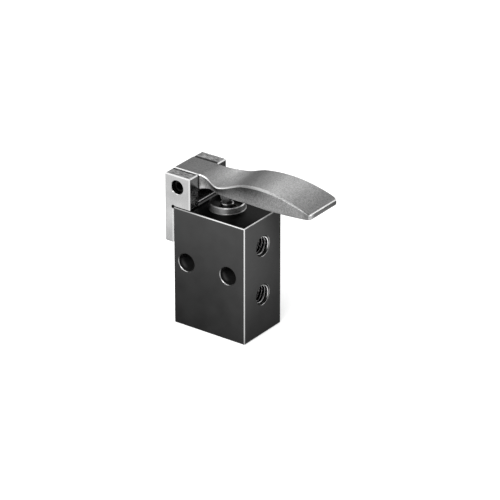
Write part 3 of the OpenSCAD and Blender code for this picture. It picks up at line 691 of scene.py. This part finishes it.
def lever_metal():
    """Cast lever, tumbled to an even satin with a fine speckle, with painted light and shade and painted
    highlights on its edges.
    """
    shader = Shader("lever_metal", metallic=1.0)
    x, y, _ = shader.axes()
    facing_x, _, facing_z = shader.facing()
    speckle = shader.noise(3200, detail=4, roughness=0.7)
    satin = shader.tinted(shader.ramp(shader.noise(300, detail=3), [(0.3, 0.255), (0.7, 0.29)]),
                          shader.ramp(speckle, [(0.36, 0.62), (0.64, 1.19)]))
    low_x, high_x = TOP_LIGHT_AND_SHADE[0][0], TOP_LIGHT_AND_SHADE[-1][0]
    share = shader.along(shader.math("MULTIPLY_ADD", y, TOP_SLANT, x), low_x, high_x, 0.0, 1.0)
    # Painted light and shade along the top
    top = shader.ramp(share, [((at - low_x) / (high_x - low_x), tone) for at, tone in TOP_LIGHT_AND_SHADE])
    # Painted highlight at the near corner of the end, fading along it
    end_face = shader.span(facing_x, *END_FACING, 0.0, 1.0)
    # Painted light and shade on the sides, from the mesh's layer
    side = shader.mix(end_face, shader.layer(TONE_LAYER), shader.along(y, *END_FADE))
    tone = shader.mix(shader.span(facing_z, *TOP_FACING, 0.0, 1.0), side, top)
    # The bevels take the painted edge highlight
    shader.colour(shader.mix(shader.layer(EDGE_LAYER), shader.tinted(satin, tone), grey(LEVER_EDGE_TONE)))
    shader.rough(speckle, 0.3, 0.44)
    shader.bump(speckle, 0.000012, 0.5)
    return shader.material


# A painted highlight band on a turned piece: radii and heights in mm, and its tones on the left and on the right
HighlightBand = namedtuple("HighlightBand", "inner_r outer_r low_z high_z left_tone right_tone")
# A well in it painted dark as shade, from its top down
ShadeWell = namedtuple("ShadeWell", "r top_z tone")
# Turning rings, in radians a metre: they are 0.11 mm apart
RING_FREQUENCY = 56520.0
# Where a painted highlight band changes from its left to its right tone, along X in mm
BAND_TURNS = (1.4, 2.8)


def turned_metal(name, low, high, roughness=0.28, tint=(1, 1, 1), bands=(), well=None, spread=0.6):
    """Turned metal: fine rings round the Z axis that spread its highlights, over a slow change of tone, with
    painted highlight bands and shade.
    """
    shader = Shader(name, metallic=1.0)
    x, y, z = shader.axes()
    radius = shader.length(x, y)
    wave = shader.math("SINE", shader.product(shader.math("ADD", radius, z), RING_FREQUENCY))
    cloud = shader.noise(700, detail=2)
    colour = shader.ramp(cloud, [(0.3, tuple(low * t for t in tint)), (0.7, tuple(high * t for t in tint))])
    # Painted shade in the well
    if well:
        inside = shader.product(shader.below(radius, well.r * MM), shader.below(z, well.top_z * MM))
        colour = shader.mix(inside, colour, grey(well.tone))
    # Painted highlight bands
    for band in bands:
        on = shader.product(shader.above(radius, band.inner_r * MM), shader.below(radius, band.outer_r * MM),
                            shader.above(z, band.low_z * MM), shader.below(z, band.high_z * MM))
        tone = shader.along(x, *BAND_TURNS, band.left_tone, band.right_tone)
        colour = shader.mix(on, colour, tone)
    shader.colour(colour)
    shader.rough(cloud, roughness * 0.85, roughness * 1.2)
    shader.bump(shader.math("MULTIPLY_ADD", wave, 0.5, 0.5), 0.000002, 0.35)
    tangent = shader.add("ShaderNodeTangent", direction_type="RADIAL", axis="Z")
    shader.link(tangent.outputs[0], shader.bsdf.inputs["Tangent"])
    shader.bsdf.inputs["Anisotropic"].default_value = spread
    shader.bsdf.inputs["Anisotropic Rotation"].default_value = 0.25
    return shader.material


def plain_steel(name, low, high):
    """Steel with a fine even grain, for parts that don't turn round the Z axis."""
    shader = Shader(name, metallic=1.0)
    grain = shader.noise(9000, detail=3)
    shader.colour(shader.ramp(shader.noise(900), [(0.3, low), (0.7, high)]))
    shader.rough(grain, 0.24, 0.36)
    shader.bump(grain, 0.000002, 0.5)
    return shader.material


# Thread of the ports, 32 turns an inch
THREAD_PITCH = 25.4 / 32
THREAD_MAJOR_R = 2.415
THREAD_MINOR_R = 2.0
# It is bright up to the first distance outside its crests, and painted dark as shade in its roots from the second
# one on
CREST_BAND = 0.03
FLANK_BAND = 0.2
THREAD_ROOT_TONE = 0.02


def cut_thread():
    """Threads cut in the black block: bare bright crests, and roots painted dark as shade."""
    shader = Shader("cut_thread", metallic=1.0)
    _, y, z = shader.axes()
    radii = [shader.length(y, shader.minus(z, mounts[name]["pos_m"][2])) for name in PORTS]
    nearest = shader.math("MINIMUM", *radii)
    # Painted shade in the roots
    shader.colour(shader.along(nearest, THREAD_MINOR_R + CREST_BAND, THREAD_MINOR_R + FLANK_BAND,
                               1.0, THREAD_ROOT_TONE))
    shader.rough(shader.noise(9000, detail=3), 0.27, 0.4)
    return shader.material


def moulded_rubber():
    shader = Shader("moulded_rubber", roughness=0.6)
    grain = shader.noise(8000, detail=3)
    shader.colour(shader.ramp(grain, [(0.3, 0.012), (0.7, 0.022)]))
    shader.rough(grain, 0.5, 0.7)
    shader.bump(grain, 0.000004, 0.5)
    return shader.material


def black_oxide():
    """Oiled black oxide on steel."""
    shader = Shader("black_oxide", roughness=0.36, metallic=1.0)
    grain = shader.noise(7000, detail=3)
    shader.colour(shader.ramp(grain, [(0.3, 0.015), (0.7, 0.03)]))
    shader.rough(grain, 0.3, 0.45)
    shader.bump(grain, 0.000003, 0.5)
    return shader.material


BRASS_TINT = (1.0, 0.78, 0.42)
materials = {}


def make_materials():
    materials["body_black"] = black_anodised()
    materials["bracket_metal"] = bracket_metal()
    materials["lever_metal"] = lever_metal()
    rim_z = corners("stem_bushing")[1].z
    # Painted highlights on the collar's rim and foot
    collar_rim = HighlightBand(inner_r=3.76, outer_r=3.96, low_z=rim_z - 0.175, high_z=rim_z - 0.005,
                      left_tone=0.3, right_tone=1.0)
    collar_foot = HighlightBand(inner_r=4.09, outer_r=4.21, low_z=body_high.z + 0.1, high_z=body_high.z + 0.23,
                       left_tone=0.14, right_tone=0.5)
    # Painted shade in the collar's recess
    collar_well = ShadeWell(r=3.66, top_z=rim_z - 0.02, tone=0.02)
    materials["bushing_dark"] = turned_metal("bushing_dark", 0.155, 0.175, roughness=0.5, spread=0.9,
                                             bands=(collar_rim, collar_foot), well=collar_well)
    button_z = plunger_high.z
    # Painted highlight on the button's edge
    button_edge = HighlightBand(inner_r=1.3, outer_r=1.51, low_z=button_z - 0.35, high_z=button_z - 0.13,
                       left_tone=0.4, right_tone=0.4)
    materials["plunger_steel"] = turned_metal("plunger_steel", 0.15, 0.18, roughness=0.3,
                                              bands=(button_edge,))
    materials["spring_steel"] = plain_steel("spring_steel", 0.5, 0.6)
    materials["screw_steel"] = plain_steel("screw_steel", 0.44, 0.52)
    materials["brass"] = turned_metal("brass", 0.74, 0.86, roughness=0.24, tint=BRASS_TINT)
    materials["seal_rubber"] = moulded_rubber()
    materials["pin_steel"] = black_oxide()
    materials["cut_thread"] = cut_thread()


def dress_nodes():
    """Gives every CAD node the material of its slot."""
    slots = {part["node"]: part["material_slot"] for part in frame["record"]["subparts"]}
    for name, obj in nodes.items():
        material = materials[slots[name]]
        if not obj.material_slots:
            obj.data.materials.append(material)
        for slot in obj.material_slots:
            slot.material = material


# Mesh helpers

def mesh_piece(name, points, faces, slot, sharp_deg=35):
    """Smooth-shaded mesh object from points in millimetres."""
    mesh = bpy.data.meshes.new(name)
    mesh.from_pydata([tuple(c * MM for c in p) for p in points], [], faces)
    mesh.validate()
    bm = bmesh.new()
    bm.from_mesh(mesh)
    bmesh.ops.recalc_face_normals(bm, faces=bm.faces)
    bm.to_mesh(mesh)
    bm.free()
    mesh.shade_smooth()
    mesh.set_sharp_from_angle(angle=math.radians(sharp_deg))
    obj = bpy.data.objects.new(name, mesh)
    scene.collection.objects.link(obj)
    mesh.materials.append(materials[slot])
    return obj


def skin(sections):
    """Points and faces of a closed loft through sections with as many points each."""
    count = len(sections[0])
    points = [p for section in sections for p in section]
    faces = []
    for k in range(len(sections) - 1):
        for i in range(count):
            j = (i + 1) % count
            faces.append((k * count + i, (k + 1) * count + i, (k + 1) * count + j, k * count + j))
    last = (len(sections) - 1) * count
    faces.append(tuple(range(count)))
    faces.append(tuple(range(last + count - 1, last - 1, -1)))
    return points, faces


def arc(x, z, r, start, end, count):
    """Points on a circle round (x, z), from one angle to another in that many steps."""
    angles = [start + (end - start) * i / count for i in range(count + 1)]
    return [(x + r * math.cos(a), z + r * math.sin(a)) for a in angles]


def spread(start, end, count):
    """Places after start, up to end."""
    return [start + (end - start) * i / count for i in range(1, count + 1)]


def blend(x, x0, y0, m0, x1, y1, m1):
    """Cubic from (x0, y0) with slope m0 to (x1, y1) with slope m1."""
    h = x1 - x0
    t = (x - x0) / h
    return ((2 * t ** 3 - 3 * t ** 2 + 1) * y0 + (t ** 3 - 2 * t ** 2 + t) * h * m0
            + (3 * t ** 2 - 2 * t ** 3) * y1 + (t ** 3 - t ** 2) * h * m1)


# Finger lever: a loft with the same profile as the solid, with finer steps

ROOT_W = 6.9
ROOT_PROUD = 0.09
ROOT_REACH = 0.15
ROOT_THICKNESS = 3.6
ROOT_INSET = 0.12
HEEL_L = 1.0
HEEL_GAP = 0.02
KNUCKLE_R = 2.9
KNUCKLE_BACK = 0.5
PIN_BORE_R = 1.6275
BORE_STEPS = 72
FLARE_GAP = 0.75
SHOULDER_W = 10.95
SHOULDER_X = 1.7
WAIST_W = 9.88
WAIST_X = 8.2
DIP_DEPTH = 0.67
DIP_THICKNESS = 1.9
DIP_X = 0.7
ARCH_X = -0.8
ARCH_RISE = 0.23
ARCH_SLOPE = 0.2
BELLY_X = 7.0
BELLY_DROP = 0.55
CROWN_RISE = 2.56
CROWN_R = 31.0
CROWN_X = 12.9
CROWN_START_X = 7.6
TIP_W = 10.5
TIP_THICKNESS = 1.15
TIP_BODY_L = 2.8
TIP_SLOPE = 0.1
TIP_CORNER_R = 1.1
CORNER_DEGREES = range(10, 65, 9)
# The bevel on the upper edges, how far in its middle line lies as a share, and the lower edges' chamfer
ROOT_BEVEL = 0.2
CROWN_BEVEL = 0.46
TIP_BEVEL = 0.22
TIP_RUN = 6.0
BEVEL_MIDDLE = 0.43
UNDER_EDGE = 0.18
# The hollow in the sides
SIDE_HOLLOW = 0.34
HOLLOW_PAST_CROWN = 2.0
HOLLOW_END_X = CROWN_X + HOLLOW_PAST_CROWN
SIDE_STEPS = 6
# The rounded end: it starts a little before the tip's corner has turned all the way
END_R = 0.2
END_SHARE = 0.97
END_SHIFT = 0.03
END_STEPS = 3
# The rib underneath and its nose on the button
NOSE_R = 1.0
NOSE_X = 0.2
NOSE_GAP = 0.02
NOSE_STEPS = 16
RIB_W = 2.2
RIB_FLANK = math.radians(24)
RIB_SINK = 0.5
LEVER_SHARP_DEG = 28

root_x = bracket_low.x
tip_x = lever_high.x
root_top = bracket_high.z + ROOT_PROUD
root_end = bracket_high.x + ROOT_REACH
dip_z = root_top - DIP_DEPTH
crown_z = dip_z + CROWN_RISE
heel_z = body_high.z + FLOOR_T + HEEL_GAP
heel_end = pin.x - HEEL_L
flare_start = root_end + FLARE_GAP
knuckle_end = root_end - KNUCKLE_BACK
root_under = root_top - ROOT_THICKNESS
arch_z = dip_z - DIP_THICKNESS + ARCH_RISE
belly_z = arch_z - BELLY_DROP
tip_body = tip_x - TIP_BODY_L
tip_corner = tip_x - TIP_CORNER_R


def crown_arc(x):
    return crown_z - CROWN_R + math.sqrt(CROWN_R ** 2 - (x - CROWN_X) ** 2)


def lever_top(x):
    """Upper profile: root, dip and crown."""
    if x <= root_end:
        return root_top
    if x <= DIP_X:
        return blend(x, root_end, root_top, 0, DIP_X, dip_z, 0)
    if x <= CROWN_START_X:
        slope = (CROWN_X - CROWN_START_X) / math.sqrt(CROWN_R ** 2 - (CROWN_START_X - CROWN_X) ** 2)
        return blend(x, DIP_X, dip_z, 0, CROWN_START_X, crown_arc(CROWN_START_X), slope)
    return crown_arc(x)


def lever_under(x):
    """Lower profile: heel, knuckle round the pin, arch over the collar, belly and tip."""
    if x <= heel_end:
        return heel_z
    if x <= pin.x:
        return blend(x, heel_end, heel_z, 0, pin.x, pin.z - KNUCKLE_R, 0)
    if x <= knuckle_end:
        return min(root_under, pin.z - math.sqrt(max(0, KNUCKLE_R ** 2 - (x - pin.x) ** 2)))
    if x <= ARCH_X:
        return blend(x, knuckle_end, root_under, ARCH_SLOPE, ARCH_X, arch_z, 0)
    if x <= BELLY_X:
        return blend(x, ARCH_X, arch_z, 0, BELLY_X, belly_z, 0)
    return blend(x, BELLY_X, belly_z, 0, tip_x, lever_top(tip_x) - TIP_THICKNESS, TIP_SLOPE)


def half_width(x):
    """Half the width: root, shoulders, waist and tip with its rounded corners."""
    if x <= flare_start:
        half = ROOT_W / 2
    elif x <= SHOULDER_X:
        half = blend(x, flare_start, ROOT_W / 2, 0, SHOULDER_X, SHOULDER_W / 2, 0)
    elif x <= WAIST_X:
        half = blend(x, SHOULDER_X, SHOULDER_W / 2, 0, WAIST_X, WAIST_W / 2, 0)
    elif x <= tip_body:
        half = blend(x, WAIST_X, WAIST_W / 2, 0, tip_body, TIP_W / 2, 0)
    else:
        half = TIP_W / 2
    if x > tip_corner:
        half -= TIP_CORNER_R - math.sqrt(max(0, TIP_CORNER_R ** 2 - (x - tip_corner) ** 2))
    return half


def bevel(x):
    """Width of the bevel along the upper edges."""
    if x <= 0:
        return ROOT_BEVEL
    if x <= WAIST_X:
        return blend(x, 0, ROOT_BEVEL, 0, WAIST_X, CROWN_BEVEL, 0)
    if x <= tip_x - TIP_RUN:
        return CROWN_BEVEL
    return blend(x, tip_x - TIP_RUN, CROWN_BEVEL, 0, tip_x, TIP_BEVEL, 0)


def hollow(x):
    """Depth of the hollow in the sides, over the dip and the waist."""
    if x <= flare_start or x >= HOLLOW_END_X:
        return 0.0
    if x <= DIP_X:
        return blend(x, flare_start, 0, 0, DIP_X, SIDE_HOLLOW, 0)
    if x <= CROWN_START_X:
        return SIDE_HOLLOW
    return blend(x, CROWN_START_X, SIDE_HOLLOW, 0, HOLLOW_END_X, 0, 0)


def lever_section(x, drawn_in=0.0, shift=0.0):
    """Cross-section at x, drawn in all round and moved along X."""
    w = half_width(x) - drawn_in
    top = lever_top(x) - drawn_in
    under = lever_under(x) + drawn_in
    b = bevel(x)
    d = hollow(x)
    side_h = top - b - under - UNDER_EDGE
    half = [(w - d - UNDER_EDGE, under)]
    for i in range(SIDE_STEPS + 1):
        v = i / SIDE_STEPS
        half.append((w - d + d * v * v, under + UNDER_EDGE + side_h * v))
    half.append((w - BEVEL_MIDDLE * b, top - BEVEL_MIDDLE * b))
    half.append((w - b, top))
    return ([(x + shift, y, z) for y, z in half]
            + [(x + shift, -y, z) for y, z in reversed(half)])


def boolean(obj, cutter, operation):
    """Applies a boolean with a cutter, which is then removed."""
    modifier = obj.modifiers.new("boolean", "BOOLEAN")
    modifier.object = cutter
    modifier.operation = operation
    modifier.solver = "EXACT"
    depsgraph = bpy.context.evaluated_depsgraph_get()
    result = bpy.data.meshes.new_from_object(obj.evaluated_get(depsgraph))
    obj.modifiers.clear()
    obj.data = result
    bpy.data.objects.remove(cutter)


def bar_along_y(name, outline, half_y):
    """Bar of the lever's metal whose outline in X and Z runs from -half_y to half_y."""
    sections = [[(x, y, z) for x, z in outline] for y in (-half_y, half_y)]
    points, faces = skin(sections)
    return mesh_piece(name, points, faces, "lever_metal")


def between(table, x):
    """Values of a table at x, in a straight line from one row to the next."""
    x = min(max(x, table[0][0]), table[-1][0])
    for (x0, *first), (x1, *second) in zip(table, table[1:]):
        if x <= x1:
            t = (x - x0) / (x1 - x0)
            return [a + (b - a) * t for a, b in zip(first, second)]


def painted_side_shading(x, depth):
    """Painted light and shade on the lever's side at x and at a depth under its top, in mm."""
    high, low = between(SIDE_LIGHT_AND_SHADE, x)
    share = (depth - UPPER_TONE_DEPTH) / (LOWER_TONE_DEPTH - UPPER_TONE_DEPTH)
    return high + (low - high) * min(max(share, 0.0), 1.0)


def mark_tones(lever, sections):
    """Marks the painted highlights on the bevels, and the painted light and shade on the sides."""
    edge_highlight = lever.data.attributes.new(EDGE_LAYER, "FLOAT", "FACE")
    count = len(sections[0])
    # In each ring of faces the top face is in the middle, with a bevel's two faces on either side
    top = count // 2 - 1
    bevels = (top - 2, top - 1, top + 1, top + 2)
    for k in range(len(sections) - 1):
        x = (sections[k][0][0] + sections[k + 1][0][0]) / 2
        at_end = x > tip_x - END_R
        for i in bevels:
            edge_highlight.data[k * count + i].value = 1.0 if at_end else between(EDGE_HIGHLIGHTS, x)[0]
        if at_end:
            edge_highlight.data[k * count + top].value = 1.0
    tones = lever.data.attributes.new(TONE_LAYER, "FLOAT", "POINT")
    for k, section in enumerate(sections):
        for i, (x, y, z) in enumerate(section):
            tones.data[k * count + i].value = painted_side_shading(x, lever_top(min(x, tip_x)) - z)


def lever_stations():
    """Places of the casting's sections along X, closer together where it curves."""
    stations = [root_x + 2 * ROOT_INSET]
    for stop, count in ((heel_end, 2), (pin.x, 8), (knuckle_end, 12), (DIP_X, 32), (CROWN_START_X, 24),
                        (tip_corner, 30)):
        stations += spread(stations[-1], stop, count)
    return stations + [tip_corner + TIP_CORNER_R * math.sin(math.radians(a)) for a in CORNER_DEGREES]


def lever_sections():
    """Sections of the casting, from its root's inset end to the rounded end of its tip."""
    sections = [lever_section(root_x + ROOT_INSET, ROOT_INSET)]
    sections += [lever_section(x) for x in lever_stations()]
    end_x = tip_corner + TIP_CORNER_R * END_SHARE - END_R
    for i in range(END_STEPS + 1):
        a = math.pi / 2 * i / END_STEPS
        sections.append(lever_section(end_x, END_R * (1 - math.cos(a)), END_R * math.sin(a) + END_SHIFT))
    return sections


def cut_pin_bore(lever):
    outline = arc(pin.x, pin.z, PIN_BORE_R, 0, 2 * math.pi, BORE_STEPS)[:-1]
    boolean(lever, bar_along_y("bore", outline, SHOULDER_W), "DIFFERENCE")


def join_rib(lever):
    """Joins the rib under the lever, which flares upward from the nose that presses the button; its nose is
    painted dark as shade.
    """
    nose_z = plunger_high.z + NOSE_GAP + NOSE_R
    rise = lever_under(NOSE_X) + RIB_SINK - nose_z
    top_half = NOSE_R * math.cos(RIB_FLANK) + (rise + NOSE_R * math.sin(RIB_FLANK)) * math.tan(RIB_FLANK)
    nose = arc(NOSE_X, nose_z, NOSE_R, math.pi + RIB_FLANK, 2 * math.pi - RIB_FLANK, NOSE_STEPS)
    outline = [(NOSE_X - top_half, nose_z + rise)] + nose + [(NOSE_X + top_half, nose_z + rise)]
    rib = bar_along_y("rib", outline, RIB_W / 2)
    # Painted shade, dark at the nose and lighter up to the lever
    tones = rib.data.attributes.new(TONE_LAYER, "FLOAT", "POINT")
    for tone, vertex in zip(tones.data, rib.data.vertices):
        tone.value = RIB_TOP_TONE if vertex.co.z > (nose_z + NOSE_R) * MM else NOSE_TONE
    boolean(lever, rib, "UNION")


def make_lever():
    """The casting with its bore and rib, in place of the CAD lever."""
    sections = lever_sections()
    points, faces = skin(sections)
    lever = mesh_piece("lever_casting", points, faces, "lever_metal", sharp_deg=LEVER_SHARP_DEG)
    mark_tones(lever, sections)
    cut_pin_bore(lever)
    join_rib(lever)
    lever.data.shade_smooth()
    lever.data.set_sharp_from_angle(angle=math.radians(LEVER_SHARP_DEG))
    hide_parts("finger_lever")
    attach(lever, "lever")


# Threads in the ports: where they start and end, half their width at root and crest, and how they fade out

THREAD_START = 0.1
THREAD_START_ANGLE = math.radians(-70)
THREAD_STEPS = 48
THREAD_END_GAP = 0.1
MOUTH_GAP = 0.02
ROOT_HALF = 0.34 * THREAD_PITCH
CREST_HALF = 0.11 * THREAD_PITCH
FADE_TURNS = 0.12
LEAST_HEIGHT = 0.02


def make_thread(name, mount):
    """Helical ridge on the wall of a port: a trapezoid swept along the hole's axis, low at both ends."""
    z0 = mount["pos_m"][2] / MM
    mouth_x = body_high.x
    turns = (mount["dims"]["length_mm"] - THREAD_START - THREAD_END_GAP - ROOT_HALF) / THREAD_PITCH
    total = int(turns * THREAD_STEPS)
    fade_steps = THREAD_STEPS * FADE_TURNS
    sections = []
    for k in range(total + 1):
        a = THREAD_START_ANGLE + 2 * math.pi * k / THREAD_STEPS
        height = min(1.0, k / fade_steps, (total - k) / fade_steps)
        crest_r = THREAD_MAJOR_R - (THREAD_MAJOR_R - THREAD_MINOR_R) * max(height, LEAST_HEIGHT)
        middle = mouth_x - THREAD_START - THREAD_PITCH * k / THREAD_STEPS
        trapezoid = ((THREAD_MAJOR_R, ROOT_HALF), (crest_r, CREST_HALF), (crest_r, -CREST_HALF),
                     (THREAD_MAJOR_R, -ROOT_HALF))
        section = []
        for i, (r, offset) in enumerate(trapezoid):
            # The first turn stays inside the mouth
            x = min(middle + offset, mouth_x - MOUTH_GAP * (1 + i))
            section.append((x, r * math.cos(a), z0 + r * math.sin(a)))
        sections.append(section)
    points, faces = skin(sections)
    thread = mesh_piece(name, points, faces, "body_black", sharp_deg=50)
    thread.material_slots[0].material = materials["cut_thread"]
    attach(thread, "valve")


# Springs, as smooth wire

WIRE_SIDES = 12
STEPS_PER_TURN = 32
CLOSED_TURNS = 0.75
# Name, CAD node, joint, wire diameter in mm and turns of each spring
SPRINGS = (("plunger_coil", "plunger_spring", "plunger_slide", 0.25, 4),
           ("poppet_coil", "poppet_spring", "poppet_slide", 0.3, 6.5))


def wire_rise(turn, turns, wire, rise):
    """How far the wire has risen after a turn: half its width over each closed end, evenly in between."""
    if turn < CLOSED_TURNS:
        return wire * turn / CLOSED_TURNS * 0.5
    if turn > turns - CLOSED_TURNS:
        return rise - wire * (turns - turn) / CLOSED_TURNS * 0.5
    return wire * 0.5 + (rise - wire) * (turn - CLOSED_TURNS) / (turns - 2 * CLOSED_TURNS)


def make_spring(name, node, joint, wire, turns):
    """Coil of round wire that replaces its CAD solid."""
    low, high = corners(node)
    height = high.z - low.z
    mean_r = (high.x - low.x - wire) / 2
    sections = []
    for k in range(int(turns * STEPS_PER_TURN) + 1):
        a = 2 * math.pi * k / STEPS_PER_TURN
        wire_z = low.z + wire / 2 + wire_rise(k / STEPS_PER_TURN, turns, wire, height - wire)
        ring = arc(mean_r, wire_z, wire / 2, 0, 2 * math.pi, WIRE_SIDES)[:-1]
        sections.append([(r * math.cos(a), r * math.sin(a), z) for r, z in ring])
    points, faces = skin(sections)
    spring = mesh_piece(name, points, faces, "spring_steel", sharp_deg=60)
    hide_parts(node)
    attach(spring, "valve")
    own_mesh(spring)


make_camera()
make_lights()
make_world()
make_floor()
make_materials()
dress_nodes()
make_lever()
for port in PORTS:
    make_thread(port + "_thread", mounts[port])
for spring in SPRINGS:
    make_spring(*spring)

scene.view_settings.view_transform = "Standard"
